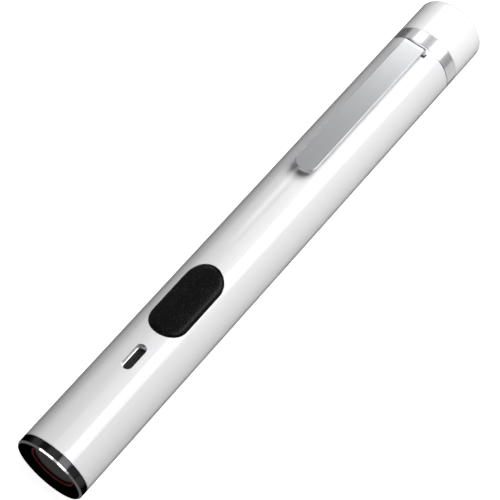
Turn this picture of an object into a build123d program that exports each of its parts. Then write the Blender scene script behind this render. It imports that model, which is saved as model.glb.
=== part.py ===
from build123d import *
import math
import os

# Non contact voltage tester, millimetres.
# Lengths along the pen are measured from the sensing face (0) to the end of the tail cap.
# Heights are measured from the pen's own axis, +Z towards the button and the clip.
# Every piece is moved by `to_row_frame` just before it is written, so that the pen lies
# on Z = 0 with the middle of its length at X = 0.

# ---- outside of the pen
overall_length = 162.0
pen_radius = 9.5
bore_radius = 8.2            # inside of the barrel
bezel_length = 2.4
rim_chamfer_axial = 0.43
rim_chamfer_radial = 0.28
ring_start = 145.55          # bright collar, front edge
ring_end = 149.65            # bright collar, tail edge
cap_end_round = 1.7
seam_chamfer = 0.12          # broken edge at every outside seam
slip = 0.05                  # clearance between pieces that slide together

# ---- sensing face
dish_depth = 1.15
dish_outer_radius = 9.05
dish_inner_radius = 6.3
light_ring_inner = 5.75
window_face = 1.7            # front of the smoked disc
window_back = 3.3
window_chamfer = 0.15
gasket_inner = 4.9
gasket_back = 4.2
spigot_radius = 8.15         # bezel spigot inside the barrel
spigot_end = 8.4
bezel_seal_section = 0.45    # radius of the O-ring's section
bezel_seal_place = 5.0
nose_bore = 3.6              # room for the warning lamp
nose_end = 13.5

# ---- sensor and warning lamp
plate_radius = 4.5
plate_hole = 2.0
plate_thickness = 0.4
sensor_spring_radius = 2.75
sensor_spring_wire = 0.4
sensor_spring_turns = 6
lamp_radius = 1.5
lamp_dome_centre = 5.0
lamp_flange_radius = 1.9
lamp_flange_start = 7.6
lamp_end = 8.4
lead_side = 1.27             # half the lead spacing
lead_thickness = 0.5
lead_end = 16.0
lead_slot_width = 7.2
lead_slot_top = 1.2

# ---- button and switch
button_middle = 50.0
button_length = 22.4
button_width = 10.2
button_gap = 0.15            # all round the pad
button_crown = 0.12          # pad stands this much above the barrel
button_edge_round = 0.45
skirt_wall = 1.2             # pad's side wall, round the carrier's core
flange_top = 5.5
flange_thickness = 0.8
flange_end_lap = 1.0         # flange under the barrel at each end
flange_side_lap = 0.7
core_top = 7.7
actuator_radius = 1.5
switch_size = 6.0
switch_height = 3.5
switch_cover_thickness = 0.3
plunger_radius = 1.7
plunger_bottom = 1.7
plunger_top = 4.0
plunger_bore_floor = 1.0
plunger_bore_clearance = 0.1

# ---- status slot
slot_middle = 30.9
slot_length = 7.6
slot_width = 2.8
ledge_width = 0.25           # frame seen inside the slot, all round
frame_lap = 0.7              # frame under the barrel, all round
frame_bottom = 6.4
status_floor = 7.3           # top of the dark insert
status_plug_bottom = 5.6
light_pipe_radius = 0.9
light_pipe_bottom = 1.0
status_led_size = (3.0, 1.5, 0.5)
status_lens_radius = 0.7
status_lens_height = 0.7

# ---- circuit board and chassis
board_start = 14.0
board_end = 62.0
board_width = 14.4
board_top = -0.5
board_thickness = 1.0
board_corner = 1.0
chip_middle = 57.1
chip_size = (5.0, 4.4, 1.1)
chip_legs = (4.2, 6.4, 0.25)
chip_lift = 0.1
component_size = (1.0, 1.8, 0.6)
component_places = [(27.5, -5.0), (27.5, 5.0), (35.0, -4.5), (35.0, 4.5), (39.0, 0.0), (41.0, 0.0)]
buzzer_place = 21.6
buzzer_radius = 4.5
buzzer_height = 4.0
buzzer_hole = 0.8
buzzer_hole_depth = 1.0
chassis_end = 63.2
chassis_radius = 8.1
chassis_wall = 1.2
bulkhead_start = 62.2
bulkhead_radius = 7.6
screw_places = (16.2, 43.0)  # along the pen
screw_side = 4.6
screw_radius = 0.6
screw_length = 2.8
screw_head_radius = 1.4
screw_head_height = 0.8
cross_slot = (1.8, 0.35, 0.4)
board_hole = 0.9
boss_radius = 1.7
boss_bottom = -6.5
pilot_depth = 3.0

# ---- battery compartment, two AAA cells in series
cell_radius = 5.25
cell_body = 43.7
cell_round = 0.4
cell_nub = 0.8
cell_nub_radius = 1.9
first_cell_start = 64.0
sleeve_end = 136.0
sleeve_bore = 5.5
contact_radius = 5.0
contact_thickness = 0.4
contact_nub_radius = 2.2
strip_thickness = 0.3
strip_width = 3.0
groove_clearance = 0.1

# ---- tail cap and its collar
collar_bore = 7.0
cap_spigot_radius = 6.9
cap_spigot_start = 139.0
thread_root = 6.55           # spigot under the thread
thread_start = 139.6
thread_end = 146.6
cap_bore = 5.6
cap_floor = 159.6
seal_section = 0.36          # radius of the cap O-ring's section
seal_place = 147.7
seal_ring_radius = 6.54
seal_groove_floor = 6.12
seal_groove_width = 0.9
battery_spring_wire = 0.6
battery_spring_turns = 4
battery_spring_radii = (3.0, 4.8)

# ---- pocket clip, one bent strip
clip_tip = 94.2
clip_root = 143.6
clip_width = 6.1
clip_top = 12.5
clip_sheet = 0.9
clip_bend = 1.3              # outside radius of the bend
clip_tip_round = 2.6
clip_hinge_height = 11.0     # where the flexing blade meets the fixed leg
clip_split_gap = 0.05
clip_leg_bottom = 9.6
dimple_place = 98.2
dimple_radius = 2.0
dimple_height = 1.45         # below the blade's underside
tongue_width = 4.0
foot_start = 139.6
foot_top = 7.85
foot_sheet = 0.8
clip_hole_front = 0.15       # clearance round the leg where it enters the barrel
clip_hole_back = 0.3
clip_hole_side = 0.15
notch_clearance = 0.4


def rod(radius, start, end):
    """Solid cylinder on the pen's axis."""
    cylinder = Cylinder(radius, end - start, align=(Align.CENTER, Align.CENTER, Align.MIN))
    return Pos(start, 0, 0) * Rot(0, 90, 0) * cylinder


def tube(outer, inner, start, end):
    return rod(outer, start, end) - rod(inner, start - 1, end + 1)


def turned(*points):
    """Solid of revolution about the pen's axis, from (along, radius) points."""
    outline = Polyline(*[(along, 0, radius) for along, radius in points], close=True)
    return revolve(make_face(outline), Axis.X, 360)


def block(start, end, width, bottom, top, side=0.0):
    """Box given by its ends along the pen, its width about `side`, and its heights."""
    box = Box(end - start, width, top - bottom, align=(Align.MIN, Align.CENTER, Align.MIN))
    return Pos(start, side, bottom) * box


def chip_block(middle, size, bottom, side=0.0):
    """Box on the circuit board: `size` is along the pen, across it, and up."""
    length, width, height = size
    return block(middle - length / 2, middle + length / 2, width, bottom, bottom + height, side)


def post(radius, along, side, bottom, top):
    cylinder = Cylinder(radius, top - bottom, align=(Align.CENTER, Align.CENTER, Align.MIN))
    return Pos(along, side, bottom) * cylinder


def stadium(middle, length, width, bottom, top):
    """Upright prism with two round ends, long side along the pen."""
    return Pos(middle, 0, bottom) * extrude(SlotOverall(length, width), top - bottom)


def o_ring(radius, section, along):
    """Round-section ring about the pen's axis; `radius` is to the middle of the section."""
    return Pos(along, 0, 0) * Rot(0, 90, 0) * Torus(radius, section)


def coil(start, end, start_radius, end_radius, wire, turns):
    """Round wire wound about the pen's axis."""
    height = end - start
    cone = math.degrees(math.atan2(end_radius - start_radius, height))
    path = Helix(height / turns, height, start_radius, cone_angle=cone)
    section = Plane(path @ 0, z_dir=path % 0) * Circle(wire / 2)
    return Pos(start, 0, 0) * Rot(0, 90, 0) * sweep(section, path, is_frenet=True)


def screw_centres():
    return [(along, side) for along in screw_places for side in (-screw_side, screw_side)]


# ---- shell, head and tail

def make_barrel():
    shell = turned(
        (bezel_length, bore_radius),
        (bezel_length, pen_radius - seam_chamfer),
        (bezel_length + seam_chamfer, pen_radius),
        (ring_start - seam_chamfer, pen_radius),
        (ring_start, pen_radius - seam_chamfer),
        (ring_start, bore_radius),
    )
    above = pen_radius + 1
    button_hole = stadium(button_middle, button_length, button_width, 0, above)
    slot_hole = stadium(slot_middle, slot_length, slot_width, 0, above)
    clip_hole = block(
        clip_root - clip_sheet - clip_hole_front,
        clip_root + clip_hole_back,
        clip_width + 2 * clip_hole_side,
        foot_top - foot_sheet,
        above,
    )
    return shell - button_hole - slot_hole - clip_hole


def make_head_bezel():
    body = turned(
        (0, dish_outer_radius),
        (0, pen_radius - rim_chamfer_radial),
        (rim_chamfer_axial, pen_radius),
        (bezel_length - seam_chamfer, pen_radius),
        (bezel_length, pen_radius - seam_chamfer),
        (bezel_length, spigot_radius),
        (spigot_end, spigot_radius),
        (spigot_end, dish_inner_radius),
        (dish_depth, dish_inner_radius),
    )
    groove_floor = spigot_radius - 2 * bezel_seal_section - slip / 2
    half_groove = bezel_seal_section + 2 * slip
    middle = bezel_seal_place
    return body - tube(spigot_radius + 1, groove_floor, middle - half_groove, middle + half_groove)


def make_bezel_seal():
    return o_ring(spigot_radius - bezel_seal_section, bezel_seal_section, bezel_seal_place)


def make_light_ring():
    return tube(dish_inner_radius, light_ring_inner, dish_depth, gasket_back)


def make_front_window():
    disc = rod(light_ring_inner, window_face, window_back)
    return chamfer(disc.edges().sort_by(Axis.X)[0], window_chamfer)


def make_window_gasket():
    return tube(light_ring_inner, gasket_inner, window_back, gasket_back)


def make_nose_holder():
    front = tube(dish_inner_radius - slip, nose_bore, gasket_back, spigot_end)
    back = tube(chassis_radius, nose_bore, spigot_end, nose_end)
    plate_seat = rod(plate_radius + slip, gasket_back - 1, gasket_back + plate_thickness)
    board_bottom = board_top - board_thickness
    lead_slot = block(spigot_end, nose_end + 1, lead_slot_width, board_bottom, lead_slot_top)
    return front + back - plate_seat - lead_slot


def make_sensor_plate():
    return tube(plate_radius, plate_hole, gasket_back, gasket_back + plate_thickness)


def make_sensor_spring():
    wire = sensor_spring_wire
    start = gasket_back + plate_thickness + wire / 2 + slip
    end = board_start - wire / 2 - slip
    return coil(start, end, sensor_spring_radius, sensor_spring_radius, wire, sensor_spring_turns)


def make_alarm_led():
    dome = Pos(lamp_dome_centre, 0, 0) * Sphere(lamp_radius)
    body = rod(lamp_radius, lamp_dome_centre, lamp_flange_start)
    return dome + body + rod(lamp_flange_radius, lamp_flange_start, lamp_end)


def make_led_leads():
    leads = []
    for side in (-lead_side, lead_side):
        foot_height = board_top + lead_thickness
        straight = block(lamp_end, lead_end, lead_thickness, board_top, foot_height, side)
        riser = block(
            lamp_end, lamp_end + lead_thickness, lead_thickness, foot_height, lead_thickness / 2, side
        )
        leads.append(straight + riser)
    return Compound(leads)


def make_window_trim():
    """Frame under the barrel wall, seen as a ledge inside the slot."""
    outside = stadium(
        slot_middle, slot_length + 2 * frame_lap, slot_width + 2 * frame_lap, frame_bottom, pen_radius
    )
    outside &= rod(bore_radius - slip, slot_middle - slot_length, slot_middle + slot_length)
    hole_length = slot_length - 2 * ledge_width
    hole_width = slot_width - 2 * ledge_width
    return outside - stadium(slot_middle, hole_length, hole_width, frame_bottom - 1, pen_radius)


def make_status_window():
    length = slot_length - 2 * ledge_width - slip
    width = slot_width - 2 * ledge_width - slip
    plug = stadium(slot_middle, length, width, status_plug_bottom, status_floor)
    return plug + post(light_pipe_radius, slot_middle, 0, light_pipe_bottom, status_plug_bottom)


def make_status_led():
    base_top = board_top + status_led_size[2]
    base = chip_block(slot_middle, status_led_size, board_top)
    return base + post(status_lens_radius, slot_middle, 0, base_top, base_top + status_lens_height)


# ---- button and switch

pad_length = button_length - 2 * button_gap
pad_width = button_width - 2 * button_gap
core_length = pad_length - 2 * skirt_wall
core_width = pad_width - 2 * skirt_wall


def make_button_pad():
    crown = rod(pen_radius + button_crown, button_middle - pad_length, button_middle + pad_length)
    pad = stadium(button_middle, pad_length, pad_width, flange_top, pen_radius + 1) & crown
    top_face = pad.faces().sort_by(Axis.Z)[-1]
    pad = fillet(top_face.edges(), button_edge_round)
    return pad - stadium(button_middle, core_length, core_width, flange_top - 1, core_top)


def make_button_carrier():
    underside = flange_top - flange_thickness
    flange_length = button_length + 2 * flange_end_lap
    flange_width = button_width + 2 * flange_side_lap
    flange = stadium(button_middle, flange_length, flange_width, underside, flange_top)
    core = stadium(button_middle, core_length, core_width, flange_top, core_top)
    return flange + core + post(actuator_radius, button_middle, 0, plunger_top, underside)


def make_switch_body():
    case = chip_block(button_middle, (switch_size, switch_size, switch_height), board_top)
    bore = plunger_radius + plunger_bore_clearance
    return case - post(bore, button_middle, 0, plunger_bore_floor, plunger_top)


def make_switch_cover():
    bottom = board_top + switch_height
    plate = chip_block(button_middle, (switch_size, switch_size, switch_cover_thickness), bottom)
    return plate - post(plunger_radius + plunger_bore_clearance, button_middle, 0, 0, plunger_top)


def make_switch_plunger():
    return post(plunger_radius, button_middle, 0, plunger_bottom, plunger_top)


# ---- electronics

def make_circuit_board():
    bottom = board_top - board_thickness
    board = block(board_start, board_end, board_width, bottom, board_top)
    board = fillet(board.edges().filter_by(Axis.Z), board_corner)
    for along, side in screw_centres():
        board -= post(board_hole, along, side, bottom - 1, board_top + 1)
    return board


def make_microcontroller():
    chip = chip_block(chip_middle, chip_size, board_top + chip_lift)
    return chip + chip_block(chip_middle, chip_legs, board_top)


def make_board_components():
    return Compound([
        chip_block(along, component_size, board_top, side) for along, side in component_places
    ])


def make_buzzer():
    top = board_top + buzzer_height
    case = post(buzzer_radius, buzzer_place, 0, board_top, top)
    return case - post(buzzer_hole, buzzer_place, 0, top - buzzer_hole_depth, top + 1)


def strip_groove(start, end):
    """Room for the return strip under the sleeve and the chassis."""
    top = strip_thickness + groove_clearance - chassis_radius
    return block(start - 1, end + 1, strip_width + 2 * groove_clearance, -pen_radius, top)


def make_chassis():
    floor = board_top - board_thickness
    tray = tube(chassis_radius, chassis_radius - chassis_wall, nose_end, chassis_end)
    tray += rod(bulkhead_radius, bulkhead_start, chassis_end)
    tray -= block(nose_end - 1, bulkhead_start, 2 * pen_radius, floor, pen_radius)
    for along, side in screw_centres():
        tray += post(boss_radius, along, side, boss_bottom, floor)
        tray -= post(screw_radius, along, side, floor - pilot_depth, floor + 1)
    tray &= rod(chassis_radius, nose_end, chassis_end)
    return tray - strip_groove(nose_end, chassis_end)


def make_chassis_screws():
    floor = board_top - board_thickness
    length, width, depth = cross_slot
    cross = Box(length, width, depth) + Box(width, length, depth)
    screws = []
    for along, side in screw_centres():
        head_top = board_top + screw_head_height
        shank = post(screw_radius, along, side, floor - screw_length, board_top)
        head = post(screw_head_radius, along, side, board_top, head_top)
        screws.append(shank + head - Pos(along, side, head_top) * cross)
    return Compound(screws)


# ---- batteries and contacts

def make_battery_sleeve():
    sleeve = tube(chassis_radius, sleeve_bore, chassis_end, sleeve_end)
    return sleeve - strip_groove(chassis_end, sleeve_end)


def make_cell(start):
    """AAA cell, positive end towards the sensing face."""
    body = rod(cell_radius, start + cell_nub, start + cell_nub + cell_body)
    body = fillet(body.edges().filter_by(GeomType.CIRCLE), cell_round)
    return body + rod(cell_nub_radius, start, start + 2 * cell_nub)


def make_positive_contact():
    disc_end = chassis_end + contact_thickness
    return rod(contact_radius, chassis_end, disc_end) + rod(contact_nub_radius, disc_end, first_cell_start)


def make_return_strip():
    start = nose_end + 2
    bottom = -chassis_radius
    strip = block(start, sleeve_end, strip_width, bottom, bottom + strip_thickness)
    return strip & rod(chassis_radius, start, sleeve_end)


def make_collar_ring():
    ring = turned(
        (sleeve_end, collar_bore),
        (sleeve_end, spigot_radius),
        (ring_start, spigot_radius),
        (ring_start, pen_radius - seam_chamfer),
        (ring_start + seam_chamfer, pen_radius),
        (ring_end - seam_chamfer, pen_radius),
        (ring_end, pen_radius - seam_chamfer),
        (ring_end, collar_bore),
    )
    notch_width = clip_width + 2 * clip_hole_side
    return ring - block(foot_start - notch_clearance, ring_start, notch_width, 0, pen_radius)


def make_tail_cap():
    cap = rod(pen_radius, ring_end, overall_length)
    cap = fillet(cap.edges().sort_by(Axis.X)[-1], cap_end_round)
    cap = chamfer(cap.edges().sort_by(Axis.X)[0], seam_chamfer)
    cap += rod(cap_spigot_radius, cap_spigot_start, ring_end)
    cap -= rod(cap_bore, cap_spigot_start - 1, cap_floor)
    cap -= tube(pen_radius, thread_root, thread_start, thread_end)
    half = seal_groove_width / 2
    return cap - tube(cap_spigot_radius + 1, seal_groove_floor, seal_place - half, seal_place + half)


def make_cap_seal():
    return o_ring(seal_ring_radius, seal_section, seal_place)


def make_cap_contact():
    return rod(cap_bore - 2 * slip, cap_floor - contact_thickness, cap_floor)


def make_battery_spring():
    half_wire = battery_spring_wire / 2
    start = first_cell_start + 2 * (cell_nub + cell_body) + half_wire
    end = cap_floor - contact_thickness - half_wire
    return coil(start, end, *battery_spring_radii, battery_spring_wire, battery_spring_turns)


# ---- pocket clip

def make_pocket_clip():
    underside = clip_top - clip_sheet
    leg_bottom = clip_hinge_height + clip_split_gap
    blade = block(clip_tip, clip_root, clip_width, underside, clip_top)
    leg = block(clip_root - clip_sheet, clip_root, clip_width, leg_bottom, clip_top)
    strip = blade + leg
    across = strip.edges().filter_by(Axis.Y)
    bend_edge = across.sort_by(lambda edge: edge.center().X + edge.center().Z)[-1]
    strip = fillet(bend_edge, clip_bend)
    tip_edges = strip.edges().filter_by(Axis.Z).sort_by(Axis.X)[:2]
    strip = fillet(tip_edges, clip_tip_round)
    dimple_middle = underside - dimple_height + dimple_radius
    dimple = Pos(dimple_place, 0, dimple_middle) * Sphere(dimple_radius)
    dimple_front = dimple_place - dimple_radius
    dimple_back = dimple_place + dimple_radius
    dimple &= block(dimple_front, dimple_back, clip_width, 0, underside + clip_sheet / 2)
    return strip + dimple


def make_clip_foot():
    leg_front = clip_root - clip_sheet
    tongue_bottom = foot_top - foot_sheet
    leg = block(leg_front, clip_root, clip_width, clip_leg_bottom, clip_hinge_height)
    tongue = block(leg_front, clip_root, tongue_width, tongue_bottom, clip_leg_bottom)
    foot = block(foot_start, clip_root, tongue_width, tongue_bottom, foot_top)
    return leg + tongue + foot


def to_row_frame(piece):
    return Pos(-overall_length / 2, 0, pen_radius) * piece


pieces = {
    "barrel": make_barrel(),
    "head_bezel": make_head_bezel(),
    "bezel_seal": make_bezel_seal(),
    "light_ring": make_light_ring(),
    "front_window": make_front_window(),
    "window_gasket": make_window_gasket(),
    "nose_holder": make_nose_holder(),
    "sensor_plate": make_sensor_plate(),
    "sensor_spring": make_sensor_spring(),
    "alarm_led": make_alarm_led(),
    "led_leads": make_led_leads(),
    "window_trim": make_window_trim(),
    "status_window": make_status_window(),
    "status_led": make_status_led(),
    "button_pad": make_button_pad(),
    "button_carrier": make_button_carrier(),
    "switch_body": make_switch_body(),
    "switch_cover": make_switch_cover(),
    "switch_plunger": make_switch_plunger(),
    "circuit_board": make_circuit_board(),
    "microcontroller": make_microcontroller(),
    "board_components": make_board_components(),
    "buzzer": make_buzzer(),
    "chassis": make_chassis(),
    "chassis_screws": make_chassis_screws(),
    "battery_sleeve": make_battery_sleeve(),
    "positive_contact": make_positive_contact(),
    "battery_front": make_cell(first_cell_start),
    "battery_rear": make_cell(first_cell_start + cell_nub + cell_body),
    "return_strip": make_return_strip(),
    "collar_ring": make_collar_ring(),
    "clip_foot": make_clip_foot(),
    "pocket_clip": make_pocket_clip(),
    "tail_cap": make_tail_cap(),
    "cap_seal": make_cap_seal(),
    "cap_contact": make_cap_contact(),
    "battery_spring": make_battery_spring(),
}

os.makedirs("parts", exist_ok=True)
for name, piece in pieces.items():
    export_step(to_row_frame(piece), f"parts/{name}.step")
    print(name, round(piece.volume, 1), "mm3")
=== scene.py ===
import math
import bpy
import bmesh
from mathutils import Matrix, Vector


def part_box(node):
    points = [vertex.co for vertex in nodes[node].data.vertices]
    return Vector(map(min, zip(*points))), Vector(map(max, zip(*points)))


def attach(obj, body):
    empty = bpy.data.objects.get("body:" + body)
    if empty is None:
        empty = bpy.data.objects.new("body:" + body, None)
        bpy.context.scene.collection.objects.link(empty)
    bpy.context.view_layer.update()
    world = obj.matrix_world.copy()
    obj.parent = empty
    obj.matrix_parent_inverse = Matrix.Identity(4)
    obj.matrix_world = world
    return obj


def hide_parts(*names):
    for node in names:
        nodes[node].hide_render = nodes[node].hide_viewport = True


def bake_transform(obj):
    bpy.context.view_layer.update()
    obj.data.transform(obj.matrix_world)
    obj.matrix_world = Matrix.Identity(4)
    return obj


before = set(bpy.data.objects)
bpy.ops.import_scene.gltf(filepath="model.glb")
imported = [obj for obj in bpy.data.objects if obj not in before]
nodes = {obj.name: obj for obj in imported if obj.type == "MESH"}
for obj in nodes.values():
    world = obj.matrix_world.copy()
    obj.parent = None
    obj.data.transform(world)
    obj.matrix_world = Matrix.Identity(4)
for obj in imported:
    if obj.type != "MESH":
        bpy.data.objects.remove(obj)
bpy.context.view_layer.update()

scene = bpy.context.scene

mm = 0.001
penRadius = 9.498  # just inside the frame's own surface
axisHeight = 9.5 * mm  # the pen lies on the floor
mergeDistance = 0.001 * mm
tolerance = 0.01  # millimetres, where faces are picked by their place
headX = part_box("head_bezel")[0].x
penEnd = (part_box("tail_cap")[1].x - headX) / mm


def at(place, side, height):  # millimetres from the sensing face, the middle and the pen's axis
    return Vector((headX + place * mm, side * mm, axisHeight + height * mm))


# camera

cameraSettings = {
    "place": (-0.18591, -0.13107, 0.37937),
    "aim": (-0.00657, -0.00009, 0.0095),
    "roll": 1.83,  # degrees
    "lens": 127.4,
    "sensor": 36,
    "clip": (0.01, 20),
}


def makeCamera(settings):
    cameraData = bpy.data.cameras.new("deskCamera")
    cameraData.lens = settings["lens"]
    cameraData.sensor_width = settings["sensor"]
    cameraData.clip_start, cameraData.clip_end = settings["clip"]
    camera = bpy.data.objects.new("deskCamera", cameraData)
    scene.collection.objects.link(camera)
    place = Vector(settings["place"])
    turn = (Vector(settings["aim"]) - place).to_track_quat("-Z", "Y")
    roll = Matrix.Rotation(math.radians(settings["roll"]), 4, "Z")
    camera.matrix_world = Matrix.Translation(place) @ turn.to_matrix().to_4x4() @ roll
    scene.camera = camera
    print("camera set")


makeCamera(cameraSettings)


# materials: every pattern reads Object coordinates, in metres

def shaded(color, share):
    return tuple(part * share for part in color)


def startMaterial(name):
    material = bpy.data.materials.new(name)
    material.use_nodes = True
    tree = material.node_tree
    shader = tree.nodes["Principled BSDF"]
    place = tree.nodes.new("ShaderNodeTexCoord").outputs["Object"]
    return material, tree, shader, place


def stretched(tree, place, stretch):
    mapping = tree.nodes.new("ShaderNodeMapping")
    mapping.inputs["Scale"].default_value = stretch
    tree.links.new(place, mapping.inputs["Vector"])
    return mapping.outputs["Vector"]


def noise(tree, place, scale, detail=3.0, stretch=(1, 1, 1)):
    texture = tree.nodes.new("ShaderNodeTexNoise")
    texture.inputs["Scale"].default_value = scale
    texture.inputs["Detail"].default_value = detail
    tree.links.new(stretched(tree, place, stretch), texture.inputs["Vector"])
    return texture.outputs["Fac"]


def cells(tree, place, scale):
    texture = tree.nodes.new("ShaderNodeTexVoronoi")
    texture.inputs["Scale"].default_value = scale
    tree.links.new(place, texture.inputs["Vector"])
    return texture.outputs["Distance"]


def ramp(tree, value, low, high, lowColor, highColor):
    node = tree.nodes.new("ShaderNodeValToRGB")
    node.color_ramp.elements[0].position = low
    node.color_ramp.elements[1].position = high
    node.color_ramp.elements[0].color = (*lowColor, 1)
    node.color_ramp.elements[1].color = (*highColor, 1)
    tree.links.new(value, node.inputs["Fac"])
    return node.outputs["Color"]


def spread(tree, value, low, high, fromLow=0.0, fromHigh=1.0):
    node = tree.nodes.new("ShaderNodeMapRange")
    node.inputs["From Min"].default_value = fromLow
    node.inputs["From Max"].default_value = fromHigh
    node.inputs["To Min"].default_value = low
    node.inputs["To Max"].default_value = high
    tree.links.new(value, node.inputs["Value"])
    return node.outputs["Result"]


def added(tree, first, second):
    node = tree.nodes.new("ShaderNodeMath")
    node.operation = "ADD"
    tree.links.new(first, node.inputs[0])
    tree.links.new(second, node.inputs[1])
    return node.outputs["Value"]


def bump(tree, shader, value, strength, distance):
    node = tree.nodes.new("ShaderNodeBump")
    node.inputs["Strength"].default_value = strength
    node.inputs["Distance"].default_value = distance
    tree.links.new(value, node.inputs["Height"])
    tree.links.new(node.outputs["Normal"], shader.inputs["Normal"])


def floorMaterial(color, glow):
    material, tree, shader, place = startMaterial("studioFloorPaint")
    mottled = ramp(tree, noise(tree, place, 3.0), 0.3, 0.7, shaded(color, 0.985), color)
    tree.links.new(mottled, shader.inputs["Base Color"])
    shader.inputs["Roughness"].default_value = 0.85
    shader.inputs["Emission Color"].default_value = (1, 1, 1, 1)
    shader.inputs["Emission Strength"].default_value = glow
    return material


def glossShell(name, color):
    # lacquered moulding: faint cloudiness, orange peel, a few hairline scuffs under the lacquer
    material, tree, shader, place = startMaterial(name)
    cloudy = noise(tree, place, 70.0, 4.0)
    base = ramp(tree, cloudy, 0.35, 0.65, shaded(color, 0.988), color)
    tree.links.new(base, shader.inputs["Base Color"])
    scuffs = noise(tree, place, 2500.0, 2.0, (0.03, 1, 1))
    tree.links.new(spread(tree, scuffs, 0.27, 0.36, 0.3, 0.7), shader.inputs["Roughness"])
    shader.inputs["Specular IOR Level"].default_value = 0.1
    shader.inputs["Coat Weight"].default_value = 1.0
    shader.inputs["Coat Roughness"].default_value = 0.10
    shader.inputs["Coat IOR"].default_value = 1.55
    bump(tree, shader, noise(tree, place, 420.0, 2.0), 0.05, 0.00002)
    return material


def mouldedPlastic(
    name, color, roughness, grain=1500.0, grainDepth=0.000004, coat=0.0, tone=0.03, shine=0.5,
):
    material, tree, shader, place = startMaterial(name)
    cloudy = noise(tree, place, 60.0, 4.0)
    base = ramp(tree, cloudy, 0.35, 0.65, shaded(color, 1 - tone), color)
    tree.links.new(base, shader.inputs["Base Color"])
    fine = noise(tree, place, grain, 2.0)
    tree.links.new(spread(tree, fine, roughness * 0.85, roughness * 1.15), shader.inputs["Roughness"])
    shader.inputs["Specular IOR Level"].default_value = shine
    shader.inputs["Coat Weight"].default_value = coat
    shader.inputs["Coat Roughness"].default_value = 0.04
    bump(tree, shader, fine, 0.15, grainDepth)
    return material


def metal(
    name, color, roughness, brushAlong=(1, 1, 1), grain=900.0, depth=0.000002, tone=0.06, edge=1.0,
):
    material, tree, shader, place = startMaterial(name)
    streaks = noise(tree, place, grain, 4.0, brushAlong)
    base = ramp(tree, streaks, 0.3, 0.7, shaded(color, 1 - tone), color)
    tree.links.new(base, shader.inputs["Base Color"])
    tree.links.new(spread(tree, streaks, roughness * 0.85, roughness * 1.15), shader.inputs["Roughness"])
    shader.inputs["Metallic"].default_value = 1.0
    shader.inputs["Specular Tint"].default_value = (edge, edge, edge, 1)
    bump(tree, shader, streaks, 0.15, depth)
    return material


def rubber(name, color, roughness, grain, depth):
    material, tree, shader, place = startMaterial(name)
    speckle = noise(tree, place, grain, 5.0)
    paler = tuple(part * 2.0 + 0.003 for part in color)
    tree.links.new(ramp(tree, speckle, 0.42, 0.72, color, paler), shader.inputs["Base Color"])
    tree.links.new(spread(tree, speckle, roughness * 0.85, roughness * 1.2), shader.inputs["Roughness"])
    shader.inputs["Specular IOR Level"].default_value = 0.25
    bump(tree, shader, speckle, 0.6, depth)
    return material


def rubberWithPaintedGlints(name, color, paintedGlint):
    # soft black moulding with a spark-eroded grain of small pits; the paler specks in its base colour are
    # painted glints
    material, tree, shader, place = startMaterial(name)
    pits = cells(tree, place, 3600.0)
    grainAndPaintedGlints = noise(tree, place, 3300.0, 3.0)
    # painted glints: paler specks of base colour where the grain noise is high
    tree.links.new(ramp(tree, grainAndPaintedGlints, 0.57, 0.72, color, paintedGlint), shader.inputs["Base Color"])
    tree.links.new(spread(tree, grainAndPaintedGlints, 0.30, 0.20, 0.4, 0.7), shader.inputs["Roughness"])
    shader.inputs["Specular IOR Level"].default_value = 0.12
    bump(tree, shader, added(tree, pits, grainAndPaintedGlints), 0.4, 0.00006)
    return material


def circuitLacquer(name, color, traceColor):
    # solder mask with straight tracks under it
    material, tree, shader, place = startMaterial(name)
    tracks = tree.nodes.new("ShaderNodeTexBrick")
    tracks.inputs["Scale"].default_value = 420.0
    tracks.inputs["Mortar Size"].default_value = 0.06
    tracks.inputs["Color1"].default_value = (*color, 1)
    tracks.inputs["Color2"].default_value = (*shaded(color, 0.8), 1)
    tracks.inputs["Mortar"].default_value = (*traceColor, 1)
    tree.links.new(place, tracks.inputs["Vector"])
    tree.links.new(tracks.outputs["Color"], shader.inputs["Base Color"])
    shader.inputs["Roughness"].default_value = 0.32
    shader.inputs["Coat Weight"].default_value = 0.4
    bump(tree, shader, tracks.outputs["Fac"], 0.3, 0.00003)
    return material


def cellWrap(name, bodyColor, bandColor, bandStart, bandEnd):
    # printed film: a plain two-colour wrap, the band at the positive end
    material, tree, shader, place = startMaterial(name)
    split = tree.nodes.new("ShaderNodeSeparateXYZ")
    tree.links.new(place, split.inputs["Vector"])
    band = spread(tree, split.outputs["X"], 0.0, 1.0, bandStart, bandEnd)
    tree.links.new(ramp(tree, band, 0.49, 0.51, bandColor, bodyColor), shader.inputs["Base Color"])
    wrinkles = noise(tree, place, 700.0, 3.0, (0.2, 1, 1))
    tree.links.new(spread(tree, wrinkles, 0.22, 0.34), shader.inputs["Roughness"])
    shader.inputs["Coat Weight"].default_value = 0.5
    bump(tree, shader, wrinkles, 0.1, 0.00002)
    return material


def cellPlaces(name):  # the band ends halfway from the first place to the second
    low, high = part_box(name)
    return low.x, low.x + (high.x - low.x) * 0.56


aroundPen = (1, 0.02, 0.02)  # streaks that run round the pen
alongPen = (0.02, 1, 1)
filmBlack = (0.02, 0.02, 0.022)
filmOrange = (0.55, 0.28, 0.06)

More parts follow.
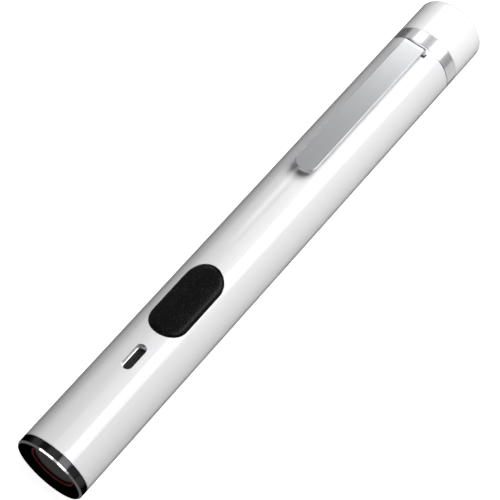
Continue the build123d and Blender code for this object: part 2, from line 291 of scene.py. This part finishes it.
finishes = {
    "shellWhite": glossShell("shellWhite", (0.80, 0.80, 0.81)),
    "capWhite": glossShell("capWhite", (0.90, 0.90, 0.905)),
    "bezelBlack": metal("bezelBlack", (0.045, 0.046, 0.048), 0.16, aroundPen, 2500.0, edge=0.05),
    "cutEdge": metal("cutEdge", (0.70, 0.70, 0.71), 0.08, aroundPen, 3000.0, 0.0000002),
    "dishBlack": mouldedPlastic("dishBlack", (0.0015, 0.0015, 0.0015), 0.9, 2500.0, 0.00001, shine=0.0),
    "ringRed": mouldedPlastic("ringRed", (0.38, 0.014, 0.028), 0.25, shine=0.4),
    # a darker copy of the ring's red: painted shade on the recessed shoulders beside the bead
    "ringPaintedShade": mouldedPlastic("ringPaintedShade", (0.055, 0.004, 0.007), 0.5, shine=0.2),
    "windowSmoke": mouldedPlastic(
        "windowSmoke", (0.20, 0.205, 0.21), 0.50, 2600.0, 0.00003, tone=0.3, shine=0.3,
    ),
    "slotBlack": mouldedPlastic("slotBlack", (0.010, 0.010, 0.011), 0.30, shine=0.3),
    "sealRubber": rubber("sealRubber", (0.015, 0.015, 0.015), 0.6, 1200.0, 0.00001),
    # the button's paler specks are painted glints
    "buttonRubber": rubberWithPaintedGlints("buttonRubber", (0.0003, 0.0003, 0.0004), (0.034, 0.035, 0.040)),
    "brightChrome": metal("brightChrome", (0.76, 0.76, 0.78), 0.22, aroundPen, 2500.0),
    "satinSteel": metal("satinSteel", (0.53, 0.536, 0.551), 0.19, alongPen, 1400.0, 0.0000006, 0.02),
    "nickel": metal("nickel", (0.62, 0.60, 0.56), 0.25),
    "brass": metal("brass", (0.72, 0.50, 0.20), 0.28),
    "springWire": metal("springWire", (0.55, 0.55, 0.56), 0.22),
    "carrierPlastic": mouldedPlastic("carrierPlastic", (0.05, 0.05, 0.055), 0.5),
    "sleevePlastic": mouldedPlastic("sleevePlastic", (0.62, 0.62, 0.60), 0.5),
    "boardGreen": circuitLacquer("boardGreen", (0.01, 0.11, 0.035), (0.02, 0.19, 0.06)),
    "chipBlack": mouldedPlastic("chipBlack", (0.012, 0.012, 0.012), 0.55, 3000.0, 0.00001),
    "cellWrapFront": cellWrap("cellWrapFront", filmBlack, filmOrange, *cellPlaces("battery_front")),
    "cellWrapRear": cellWrap("cellWrapRear", filmBlack, filmOrange, *cellPlaces("battery_rear")),
    "ledRed": mouldedPlastic("ledRed", (0.45, 0.01, 0.01), 0.15, coat=0.5),
    "ledClear": mouldedPlastic("ledClear", (0.70, 0.70, 0.62), 0.2, coat=0.5),
}

finishOfNode = {
    "shellWhite": ("barrel",),
    "capWhite": ("tail_cap",),
    "bezelBlack": ("head_bezel",),
    "ringRed": ("light_ring",),
    "windowSmoke": ("front_window",),
    "slotBlack": ("status_window",),
    "sealRubber": ("bezel_seal", "cap_seal", "window_gasket"),
    "buttonRubber": ("button_pad",),
    "brightChrome": ("collar_ring", "window_trim"),
    "satinSteel": ("pocket_clip", "clip_foot"),
    "nickel": ("switch_cover", "chassis_screws", "positive_contact", "led_leads"),
    "brass": ("return_strip", "cap_contact", "sensor_plate"),
    "springWire": ("battery_spring", "sensor_spring"),
    "carrierPlastic": ("button_carrier", "switch_plunger", "chassis", "nose_holder", "board_components"),
    "sleevePlastic": ("battery_sleeve",),
    "boardGreen": ("circuit_board",),
    "chipBlack": ("switch_body", "microcontroller", "buzzer"),
    "cellWrapFront": ("battery_front",),
    "cellWrapRear": ("battery_rear",),
    "ledRed": ("alarm_led",),
    "ledClear": ("status_led",),
}


def paintNodes():
    for finish, names in finishOfNode.items():
        for name in names:
            for materialSlot in nodes[name].material_slots:
                materialSlot.material = finishes[finish]
    painted = sum(len(names) for names in finishOfNode.values())
    print("painted", painted, "of", len(nodes), "frame pieces")


paintNodes()


# studio: pale floor, soft lights

headMiddle = (-0.081, 0, 0.012)
penMiddle = (0, 0, 0.01)
alongX = (1, 0, 0)

studioSettings = {
    "floorSize": 6.0,
    "floorColor": (0.95, 0.95, 0.955),
    "floorGlow": 0.85,  # a lit table: it keeps the floor clean and pale
    "world": 0.15,
    "lights": {
        # name: (place, aim, long side's direction, length, width, radiance, seen by)
        "keyBox": ((0.20, -0.195, 0.52), penMiddle, alongX, 0.50, 0.30, 8.1, "matt"),
        "highlightBox": ((0.246, -0.329, 0.447), penMiddle, alongX, 0.60, 0.35, 4.0, "gloss"),
        "overheadPanel": ((0.246, 0.040, 0.557), penMiddle, alongX, 0.80, 0.36, 0.52, "gloss"),
        "tailBox": ((0.46, 0.33, 0.40), (0.06, 0, 0.02), alongX, 0.44, 0.16, 2.5, "gloss"),
        "clipBox": ((0.497, 0.205, 0.50), (0.497, 0.19, 0.02), alongX, 0.23, 0.11, 2.2, "gloss"),
        "rightCard": ((0.25, -0.50, 0.16), (0.25, 0, 0.02), alongX, 0.90, 0.26, 0.30, "gloss"),
        "leftCard": ((0.25, 0.50, 0.24), (0.25, 0, 0.02), alongX, 0.90, 0.30, 0.50, "gloss"),
        "tableCard": ((0.53, -0.66, -0.20), (0.53, -0.60, 0.02), alongX, 1.10, 1.10, 0.60, "gloss"),
        "sideBox": ((0.0, -0.60, 0.08), penMiddle, alongX, 0.80, 0.30, 0.45, "matt"),
        "frontCard": ((-0.46, -0.03, 0.26), headMiddle, (0, 1, 0), 0.80, 0.30, 0.60, "gloss"),
        "rimStripLeft": (
            (-0.42, 0.133, 0.255), headMiddle, (0.136, 0.70, -0.19), 0.31, 0.08, 2.8, "gloss",
        ),
        "rimStripRight": (
            (-0.445, -0.192, 0.215), headMiddle, (0.048, -0.414, -0.304), 0.20, 0.08, 2.8, "gloss",
        ),
    },
}


def makeLight(name, place, aim, along, length, width, radiance, seenBy):
    lightData = bpy.data.lights.new(name, "AREA")
    lightData.shape = "RECTANGLE"
    lightData.size = length
    lightData.size_y = width
    lightData.energy = radiance * math.pi * length * width
    light = bpy.data.objects.new(name, lightData)
    scene.collection.objects.link(light)
    back = (Vector(place) - Vector(aim)).normalized()
    side = (Vector(along) - back * Vector(along).dot(back)).normalized()
    turn = Matrix((side, back.cross(side), back)).transposed()
    light.matrix_world = Matrix.Translation(place) @ turn.to_4x4()
    light.visible_diffuse = seenBy == "matt"
    light.visible_glossy = seenBy == "gloss"


def makeFloor(settings):
    floorBm = bmesh.new()
    bmesh.ops.create_grid(floorBm, x_segments=1, y_segments=1, size=settings["floorSize"] / 2)
    floorMesh = bpy.data.meshes.new("studioFloor")
    floorBm.to_mesh(floorMesh)
    floorBm.free()
    floor = bpy.data.objects.new("studioFloor", floorMesh)
    scene.collection.objects.link(floor)
    floor.data.materials.append(floorMaterial(settings["floorColor"], settings["floorGlow"]))
    # the floor neither lights the pen nor shows in its gloss, and the card below shines through it
    floor.visible_diffuse = False
    floor.visible_glossy = False
    floor.visible_shadow = False


def makeStudio(settings):
    scene.view_settings.view_transform = "Standard"
    world = bpy.data.worlds.new("studioWorld")
    world.use_nodes = True
    background = world.node_tree.nodes["Background"]
    background.inputs["Color"].default_value = (1, 1, 1, 1)
    background.inputs["Strength"].default_value = settings["world"]
    scene.world = world
    for name, light in settings["lights"].items():
        makeLight(name, *light)
    makeFloor(settings)
    print("studio set:", len(settings["lights"]), "lights")


makeStudio(studioSettings)


# mesh helpers

def onlyVerts(geom):
    return [item for item in geom if isinstance(item, bmesh.types.BMVert)]


def openEdges(bm):
    return [edge for edge in bm.edges if edge.is_boundary]


def finishPiece(name, bm, pieceFinishes, body=None, replaced=(), sharpAngle=35):
    bmesh.ops.remove_doubles(bm, verts=bm.verts, dist=mergeDistance)
    bmesh.ops.recalc_face_normals(bm, faces=bm.faces)
    mesh = bpy.data.meshes.new(name)
    bm.to_mesh(mesh)
    bm.free()
    for finish in pieceFinishes:
        mesh.materials.append(finishes[finish])
    for polygon in mesh.polygons:
        polygon.use_smooth = True
    mesh.set_sharp_from_angle(angle=math.radians(sharpAngle))
    piece = bpy.data.objects.new(name, mesh)
    scene.collection.objects.link(piece)
    if body:
        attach(piece, body)
    if replaced:
        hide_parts(*replaced)
    print("made", name, "with", len(mesh.polygons), "faces")
    return piece


def between(start, end, share):
    return start[0] + (end[0] - start[0]) * share, start[1] + (end[1] - start[1]) * share


def supported(points, closed, support=0.03, shortest=0.12):  # keeps long runs flat near their corners
    ends = points[1:] + points[:1] if closed else points[1:]
    outline = []
    for start, end in zip(points, ends):
        outline.append(start)
        length = math.dist(start, end)
        if length > shortest:
            outline.append(between(start, end, support / length))
            outline.append(between(start, end, 1 - support / length))
    return outline if closed else outline + [points[-1]]


def turnOutline(points, steps=128, closed=True):  # (place, radius) points, spun about the pen's axis
    points = supported(points, closed)
    bm = bmesh.new()
    verts = [bm.verts.new(at(place, 0, radius)) for place, radius in points]
    edges = [bm.edges.new(pair) for pair in zip(verts, verts[1:])]
    if closed:
        edges.append(bm.edges.new((verts[-1], verts[0])))
    bmesh.ops.spin(
        bm, geom=verts + edges, cent=at(0, 0, 0), axis=(1, 0, 0), angle=math.tau, steps=steps,
        use_merge=True,
    )
    bmesh.ops.remove_doubles(bm, verts=bm.verts, dist=mergeDistance)
    bmesh.ops.recalc_face_normals(bm, faces=bm.faces)
    return bm


def arc(place, radius, size, fromAngle, toAngle, count):  # 0 points to the tail, 90 away from the axis
    angles = [math.radians(fromAngle + (toAngle - fromAngle) * i / count) for i in range(count + 1)]
    return [(place + size * math.cos(angle), radius + size * math.sin(angle)) for angle in angles]


def roundEdges(bm, size, sharper):
    edges = [
        edge for edge in bm.edges
        if len(edge.link_faces) == 2 and edge.calc_face_angle() > math.radians(sharper)
    ]
    bmesh.ops.bevel(
        bm, geom=edges, offset=size * mm, offset_type="OFFSET", segments=3, profile=0.5,
        affect="EDGES", material=-1, clamp_overlap=True,
    )


def placeAndRadius(point):
    return (point.x - headX) / mm, math.hypot(point.y, point.z - axisHeight) / mm


# sensing end

bezelSettings = {
    "length": 2.4,
    "rimDepth": 0.43,
    "rimRadius": 9.22,
    "dishRadius": 9.05,
    "dishDepth": 1.15,
    "dishSteps": 10,
    "bore": 6.3,
    "spigotRadius": 8.15,
    "spigotEnd": 8.4,
    "sealGroove": (4.4, 5.6, 7.22),  # from, to, floor
    "seam": 0.12,  # chamfer next to the barrel
    "edge": 0.025,
    "sharper": 25,  # degrees: only corners sharper than this are rounded
}


def makeHeadBezel(settings):
    dish = []
    for i in range(settings["dishSteps"] + 1):
        share = i / settings["dishSteps"]
        dish.append((
            settings["dishDepth"] * math.sin(share * math.pi / 2),
            settings["dishRadius"] + (settings["bore"] - settings["dishRadius"]) * share,
        ))
    grooveStart, grooveEnd, grooveFloor = settings["sealGroove"]
    outline = [
        (0, settings["rimRadius"]),
        (settings["rimDepth"], penRadius),
        (settings["length"] - settings["seam"], penRadius),
        (settings["length"], penRadius - settings["seam"]),
        (settings["length"], settings["spigotRadius"]),
        (grooveStart, settings["spigotRadius"]),
        (grooveStart, grooveFloor),
        (grooveEnd, grooveFloor),
        (grooveEnd, settings["spigotRadius"]),
        (settings["spigotEnd"], settings["spigotRadius"]),
        (settings["spigotEnd"], settings["bore"]),
    ]
    bm = turnOutline(outline + dish[::-1])
    roundEdges(bm, settings["edge"], settings["sharper"])
    dishEnd = settings["dishDepth"] + tolerance
    for face in bm.faces:
        place, radius = placeAndRadius(face.calc_center_median())
        if place < settings["rimDepth"] and radius > settings["dishRadius"]:
            face.material_index = 1
        elif place < dishEnd and settings["bore"] < radius <= settings["dishRadius"]:
            face.material_index = 2
    layers = ["bezelBlack", "cutEdge", "dishBlack"]
    finishPiece("headBezel", bm, layers, "handle", ["head_bezel"])


makeHeadBezel(bezelSettings)

ringSettings = {
    "outer": 6.3,
    "inner": 5.75,
    "front": 1.15,
    "back": 4.2,
    "beadRadius": 0.16,
    "beadSteps": 10,
}


def makeLightRing(settings):
    middle = (settings["outer"] + settings["inner"]) / 2
    bead = settings["beadRadius"]
    shoulder = settings["front"] + bead
    outline = [(shoulder, settings["inner"])]
    outline += arc(shoulder, middle, bead, 270, 90, settings["beadSteps"])
    outline += [
        (shoulder, settings["outer"]),
        (settings["back"], settings["outer"]),
        (settings["back"], settings["inner"]),
    ]
    bm = turnOutline(outline)
    # faces from the shoulders back take the darker red, which is painted shade
    for face in bm.faces:
        place, _ = placeAndRadius(face.calc_center_median())
        if place > shoulder - tolerance:
            face.material_index = 1
    finishPiece("lightRing", bm, ["ringRed", "ringPaintedShade"], "handle", ["light_ring"])


makeLightRing(ringSettings)

windowSettings = {
    "radius": 5.75,
    "front": 1.7,
    "back": 3.3,
    "dome": 0.16,  # how far the edge lies behind the middle
    "rings": 12,
    "chamfer": 0.15,
}


def makeFrontWindow(settings):
    rim = settings["radius"] - settings["chamfer"]
    rings = settings["rings"]
    dome = [
        (settings["front"] + settings["dome"] * (i / rings) ** 2, rim * i / rings)
        for i in range(rings + 1)
    ]
    edge = settings["front"] + settings["dome"] + settings["chamfer"]
    outline = dome + [
        (edge, settings["radius"]),
        (settings["back"], settings["radius"]),
        (settings["back"], 0),
    ]
    bm = turnOutline(outline, closed=False)
    finishPiece("frontWindow", bm, ["windowSmoke"], "handle", ["front_window"])


makeFrontWindow(windowSettings)


# push button

buttonSettings = {
    "middle": 50.0,
    "length": 22.1,
    "width": 9.9,
    "crown": 0.12,  # above the barrel
    "crownRadius": 14.0,  # flatter than the barrel
    "border": 1.1,  # width of the rounded rim
    "borderDepth": 0.6,
    "skirt": 1.2,  # thickness of the side walls
    "bottom": 5.5,
    "coreTop": 7.7,  # top of the pocket for the carrier
    "segments": 90,
    # rings of the top face, from its edge inwards, closer together over the border
    "insets": (0.03, 0.05, 0.07, 0.09, 0.11, 0.14, 0.17, 0.2, 0.24, 0.4, 0.5, 0.5, 0.55, 0.55, 0.55),
}


def stadium(bm, length, width, segments):  # flat, around the origin, long side along X
    made = bmesh.ops.create_circle(bm, cap_ends=True, radius=width / 2 * mm, segments=segments)
    shift = (length - width) / 2 * mm
    for vert in made["verts"]:
        vert.co.x += math.copysign(shift, vert.co.x)
    return made["verts"][0].link_faces[0]


def insetRings(bm, face, steps):
    for thickness in steps:
        bmesh.ops.inset_individual(bm, faces=[face], thickness=thickness * mm, use_even_offset=True)


def insideStadium(point, length, width):  # distance from the outline, in metres
    fromEnd = max(abs(point.x) - (length - width) / 2 * mm, 0)
    return width / 2 * mm - math.hypot(fromEnd, point.y)


def levelAt(height, verts):
    for vert in verts:
        vert.co.z = height * mm


def makeButtonPad(settings):
    bm = bmesh.new()
    top = stadium(bm, settings["length"], settings["width"], settings["segments"])
    insetRings(bm, top, settings["insets"])
    crownRadius = settings["crownRadius"] * mm
    crownMiddle = (penRadius + settings["crown"]) * mm - crownRadius
    border = settings["border"] * mm
    for vert in bm.verts:
        inside = insideStadium(vert.co, settings["length"], settings["width"])
        short = max(border - inside, 0)
        drop = settings["borderDepth"] * mm * (1 - math.sqrt(max(1 - (short / border) ** 2, 0)))
        vert.co.z = crownMiddle + math.sqrt(crownRadius ** 2 - vert.co.y ** 2) - drop
    skirt = bmesh.ops.extrude_edge_only(bm, edges=openEdges(bm))["geom"]
    levelAt(settings["bottom"], onlyVerts(skirt))
    underside = bmesh.ops.contextual_create(bm, geom=openEdges(bm))["faces"][0]
    bmesh.ops.inset_region(
        bm, faces=[underside], thickness=settings["skirt"] * mm, use_even_offset=True,
    )
    pocket = bmesh.ops.extrude_face_region(bm, geom=[underside])["geom"]
    levelAt(settings["coreTop"], onlyVerts(pocket))
    bmesh.ops.delete(bm, geom=[underside], context="FACES")
    bmesh.ops.translate(bm, verts=bm.verts, vec=at(settings["middle"], 0, 0))
    finishPiece("buttonPad", bm, ["buttonRubber"], "button", ["button_pad"], sharpAngle=50)


makeButtonPad(buttonSettings)


# frame of the status slot, seated under the barrel's wall

slotSettings = {
    "middle": 30.9,
    "length": 7.6,
    "width": 2.8,
    "lap": 0.7,  # hidden under the wall
    "ledge": 0.25,
    "slope": 0.17,  # how far the ledge falls towards the hole
    "top": 8.15,
    "bottom": 6.4,
    "edge": 0.03,
    "segments": 72,
}


def makeSlotFrame(settings):
    bm = bmesh.new()
    lap, edge, ledge = settings["lap"], settings["edge"], settings["ledge"]
    length, width = settings["length"], settings["width"]
    top = stadium(bm, length + 2 * lap, width + 2 * lap, settings["segments"])
    outerVerts = set(top.verts)
    insetRings(bm, top, (lap - edge, edge, ledge - edge, edge))
    for vert in bm.verts:
        inwards = min(max(insideStadium(vert.co, length, width) / (ledge * mm), 0), 1)
        level = math.sqrt((settings["top"] * mm) ** 2 - vert.co.y ** 2)
        vert.co.z = level - settings["slope"] * mm * inwards
    well = bmesh.ops.extrude_face_region(bm, geom=[top])["geom"]
    wellVerts = set(onlyVerts(well))
    lids = [face for face in bm.faces if set(face.verts) <= wellVerts]
    bmesh.ops.delete(bm, geom=[top] + lids, context="FACES")
    outerEdges = [rim for rim in openEdges(bm) if rim.verts[0] in outerVerts]
    skirt = bmesh.ops.extrude_edge_only(bm, edges=outerEdges)["geom"]
    levelAt(settings["bottom"], wellVerts.union(onlyVerts(skirt)))
    bmesh.ops.bridge_loops(bm, edges=openEdges(bm))
    bmesh.ops.translate(bm, verts=bm.verts, vec=at(settings["middle"], 0, 0))
    finishPiece("slotFrame", bm, ["brightChrome"], "handle", ["window_trim"], sharpAngle=60)


makeSlotFrame(slotSettings)


# pocket clip: one strip, cut flat, its edges rounded, then bent

clipSettings = {
    "tip": 94.2,
    "root": 143.6,
    "top": 12.5,
    "width": 6.1,
    "sheet": 0.9,
    "tipRound": 2.75,
    "tipSteps": 16,
    "edge": 0.24,
    "edgeSteps": 4,
    "support": 0.03,  # ring of narrow faces that keeps the flats flat
    "flatArea": 100,  # square millimetres: only the two flats are larger
    "bladeCuts": (12, 10),  # parts of the blade's length, and the first one left uncut
    "nearCuts": (10.5, 0.75, 14),  # start before the bend, step, count
    "firstBendCuts": 12,
    "secondBendCuts": 8,
    "bend": 1.3,  # outside radius at the root
    "legBottom": 9.6,  # the full width ends here, and the tongue goes on
    "tongueWidth": 4.0,
    "footBend": 1.1,
    "footBottom": 7.05,
    "footStart": 139.6,
    "footSheet": 0.8,
    "bumpPlace": 98.2,
    "bumpRadius": 2.0,
    "bumpBottom": 10.15,
    "bumpSegments": (32, 24),
    "flexFrom": (143.6, 10.4),  # place and height
    "flexTo": (142.8, 11.6),
}


def clipLengths(settings):  # blade, first bend, leg, second bend, foot
    return (
        settings["root"] - settings["bend"] - settings["tip"],
        settings["bend"] * math.pi / 2,
        settings["top"] - settings["bend"] - settings["footBottom"] - settings["footBend"],
        settings["footBend"] * math.pi / 2,
        settings["root"] - settings["footBend"] - settings["footStart"],
    )


def bendClip(run, depth, settings):  # run along the outer face, depth into the sheet, to place and height
    blade, firstBend, leg, secondBend, _ = clipLengths(settings)
    if run < blade:
        return settings["tip"] + run, settings["top"] - depth
    run -= blade
    if run < firstBend:
        turn = run / settings["bend"]
        radius = settings["bend"] - depth
        return (
            settings["root"] - settings["bend"] + radius * math.sin(turn),
            settings["top"] - settings["bend"] + radius * math.cos(turn),
        )
    run -= firstBend
    if run < leg:
        return settings["root"] - depth, settings["top"] - settings["bend"] - run
    run -= leg
    depth *= settings["footSheet"] / settings["sheet"]
    if run < secondBend:
        turn = run / settings["footBend"]
        radius = settings["footBend"] - depth
        return (
            settings["root"] - settings["footBend"] + radius * math.cos(turn),
            settings["footBottom"] + settings["footBend"] - radius * math.sin(turn),
        )
    run -= secondBend
    return settings["root"] - settings["footBend"] - run, settings["footBottom"] + depth


def clipCuts(settings):  # runs at which the blank is cut, so that it can bend
    blade, firstBend, leg, secondBend, _ = clipLengths(settings)
    parts, uncut = settings["bladeCuts"]
    before, step, count = settings["nearCuts"]
    cuts = [blade * i / parts for i in range(1, uncut)]
    cuts += [blade - before + i * step for i in range(count)]
    parts = settings["firstBendCuts"]
    cuts += [blade + firstBend * i / parts for i in range(parts + 1)]
    parts = settings["secondBendCuts"]
    return cuts + [blade + firstBend + leg + secondBend * i / parts for i in range(parts + 1)]


def makePocketClip(settings):
    lengths = clipLengths(settings)
    blade, firstBend = lengths[:2]
    total = sum(lengths)
    shoulder = blade + firstBend + settings["top"] - settings["bend"] - settings["legBottom"]
    half = settings["width"] / 2
    tongue = settings["tongueWidth"] / 2
    bm = bmesh.new()
    corners = [
        (0, -half), (shoulder, -half), (shoulder, -tongue), (total, -tongue),
        (total, tongue), (shoulder, tongue), (shoulder, half), (0, half),
    ]
    blank = bm.faces.new([bm.verts.new((run, side, 0)) for run, side in corners])
    tips = [vert for vert in blank.verts if vert.co.x == 0]
    bmesh.ops.bevel(
        bm, geom=tips, offset=settings["tipRound"], offset_type="OFFSET",
        segments=settings["tipSteps"], profile=0.5, affect="VERTICES", material=-1,
    )
    lower = bmesh.ops.extrude_face_region(bm, geom=bm.faces[:])["geom"]
    bmesh.ops.translate(bm, verts=onlyVerts(lower), vec=(0, 0, -settings["sheet"]))
    bmesh.ops.recalc_face_normals(bm, faces=bm.faces)
    rims = [edge for edge in bm.edges if edge.verts[0].co.z == edge.verts[1].co.z]
    bmesh.ops.bevel(
        bm, geom=rims, offset=settings["edge"], offset_type="OFFSET",
        segments=settings["edgeSteps"], profile=0.5, affect="EDGES", material=-1,
        clamp_overlap=True,
    )
    flats = [face for face in bm.faces if face.calc_area() > settings["flatArea"]]
    bmesh.ops.inset_individual(bm, faces=flats, thickness=settings["support"], use_even_offset=True)
    for cut in clipCuts(settings):
        everything = bm.verts[:] + bm.edges[:] + bm.faces[:]
        bmesh.ops.bisect_plane(bm, geom=everything, plane_co=(cut, 0, 0), plane_no=(1, 0, 0))
    for vert in bm.verts:
        place, height = bendClip(vert.co.x, -vert.co.z, settings)
        vert.co = at(place, vert.co.y, height)
    makeClipBump(bm, settings)
    clip = finishPiece(
        "pocketClip", bm, ["satinSteel"], None, ["pocket_clip", "clip_foot"],
        sharpAngle=50,
    )
    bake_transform(clip)


def makeClipBump(bm, settings):  # pressed bump that grips the pocket
    middle = at(settings["bumpPlace"], 0, settings["bumpBottom"] + settings["bumpRadius"])
    around, over = settings["bumpSegments"]
    ballVerts = bmesh.ops.create_uvsphere(
        bm, u_segments=around, v_segments=over, radius=settings["bumpRadius"] * mm,
        matrix=Matrix.Translation(middle),
    )["verts"]
    buried = at(0, 0, settings["top"] - settings["sheet"] / 2).z
    geom = set(ballVerts)
    for vert in ballVerts:
        geom.update(vert.link_edges)
        geom.update(vert.link_faces)
    cut = bmesh.ops.bisect_plane(
        bm, geom=list(geom), plane_co=(0, 0, buried), plane_no=(0, 0, 1), clear_outer=True,
    )["geom_cut"]
    rim = [item for item in cut if isinstance(item, bmesh.types.BMEdge)]
    bmesh.ops.holes_fill(bm, edges=rim, sides=0)


makePocketClip(clipSettings)


# tail cap

capSettings = {
    "seam": 149.65,
    "seamChamfer": 0.12,
    "endRound": 1.7,
    "endSteps": 14,
    "bore": 5.6,
    "floor": 159.6,
    "spigotStart": 139.0,
    "spigotRadius": 6.9,
    "threadStart": 139.6,
    "threadEnd": 146.6,
    "threadRoot": 6.55,
    "sealGroove": (147.25, 148.15, 6.12),  # from, to, floor
    "edge": 0.025,
    "sharper": 40,
}


def makeTailCap(settings):
    grooveStart, grooveEnd, grooveFloor = settings["sealGroove"]
    outline = [
        (settings["floor"], 0),
        (settings["floor"], settings["bore"]),
        (settings["spigotStart"], settings["bore"]),
        (settings["spigotStart"], settings["spigotRadius"]),
        (settings["threadStart"], settings["spigotRadius"]),
        (settings["threadStart"], settings["threadRoot"]),
        (settings["threadEnd"], settings["threadRoot"]),
        (settings["threadEnd"], settings["spigotRadius"]),
        (grooveStart, settings["spigotRadius"]),
        (grooveStart, grooveFloor),
        (grooveEnd, grooveFloor),
        (grooveEnd, settings["spigotRadius"]),
        (settings["seam"], settings["spigotRadius"]),
        (settings["seam"], penRadius - settings["seamChamfer"]),
        (settings["seam"] + settings["seamChamfer"], penRadius),
    ]
    endRound = settings["endRound"]
    outline += arc(penEnd - endRound, penRadius - endRound, endRound, 90, 0, settings["endSteps"])
    outline.append((penEnd, 0))
    bm = turnOutline(outline, closed=False)
    roundEdges(bm, settings["edge"], settings["sharper"])
    finishPiece("tailCap", bm, ["capWhite"], "end_cap", ["tail_cap"])


makeTailCap(capSettings)

threadSettings = {
    "crest": 6.87,
    "pitch": 1.5,
    "baseWidth": 1.05,
    "topWidth": 0.45,
    "buried": 0.05,  # how deep its foot sits in the spigot
    "endGap": 0.1,
    "stepsPerTurn": 40,
}


def makeCapThread(settings, cap):  # one ridge, wound on the spigot between its lands
    base = settings["baseWidth"] / 2
    top = settings["topWidth"] / 2
    crest = settings["crest"]
    buried = cap["threadRoot"] - settings["buried"]
    start = cap["threadStart"] + base + settings["endGap"]
    travel = cap["threadEnd"] - cap["threadStart"] - 2 * (base + settings["endGap"])
    turns = travel / settings["pitch"]
    steps = round(turns * settings["stepsPerTurn"])
    outline = [(start - base, buried), (start - top, crest), (start + top, crest), (start + base, buried)]
    bm = bmesh.new()
    verts = [bm.verts.new(at(place, 0, radius)) for place, radius in outline]
    edges = [bm.edges.new(pair) for pair in zip(verts, verts[1:] + verts[:1])]
    bmesh.ops.spin(
        bm, geom=verts + edges, cent=at(0, 0, 0), axis=(1, 0, 0), angle=math.tau * turns, steps=steps,
        dvec=(travel / steps * mm, 0, 0),
    )
    bmesh.ops.holes_fill(bm, edges=openEdges(bm), sides=0)
    finishPiece("capThread", bm, ["capWhite"], "end_cap")


makeCapThread(threadSettings, capSettings)


# the two cells

cellSettings = {
    "radius": 5.25,
    "nubLength": 0.8,
    "nubRadius": 1.9,
    "washer": 0.2,  # how deep the insulating washer sits
    "washerRadius": 4.5,
    "round": 0.35,
    "roundSteps": 6,
    "dent": 0.15,
    "dentPlace": 3.0,
    "padRadius": 3.0,
    "segments": 96,
}


def makeCell(name, node, finish, settings):
    low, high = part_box(node)
    start = (low.x - headX) / mm
    end = (high.x - headX) / mm
    body = start + settings["nubLength"]
    inset = settings["washer"]
    lip = settings["radius"] - settings["round"]
    dent = start + settings["dentPlace"]
    outline = [(start, 0), (start, settings["nubRadius"] - inset), (start + inset, settings["nubRadius"])]
    outline += [(body + inset, settings["nubRadius"]), (body + inset, settings["washerRadius"])]
    outline += arc(body + settings["round"], lip, settings["round"], 180, 90, settings["roundSteps"])
    outline += [
        (dent - 2 * settings["dent"], settings["radius"]),
        (dent, settings["radius"] - settings["dent"]),
        (dent + 2 * settings["dent"], settings["radius"]),
    ]
    outline += arc(end - settings["round"], lip, settings["round"], 90, 0, settings["roundSteps"])
    outline += [(end - inset, settings["washerRadius"]), (end - inset, settings["padRadius"] + inset)]
    outline += [(end, settings["padRadius"]), (end, 0)]
    bm = turnOutline(outline, settings["segments"], closed=False)
    for face in bm.faces:
        _, radius = placeAndRadius(face.calc_center_median())
        if radius < lip:
            face.material_index = 1
    finishPiece(name, bm, [finish, "nickel"], "handle", [node])


makeCell("frontCell", "battery_front", "cellWrapFront", cellSettings)
makeCell("rearCell", "battery_rear", "cellWrapRear", cellSettings)
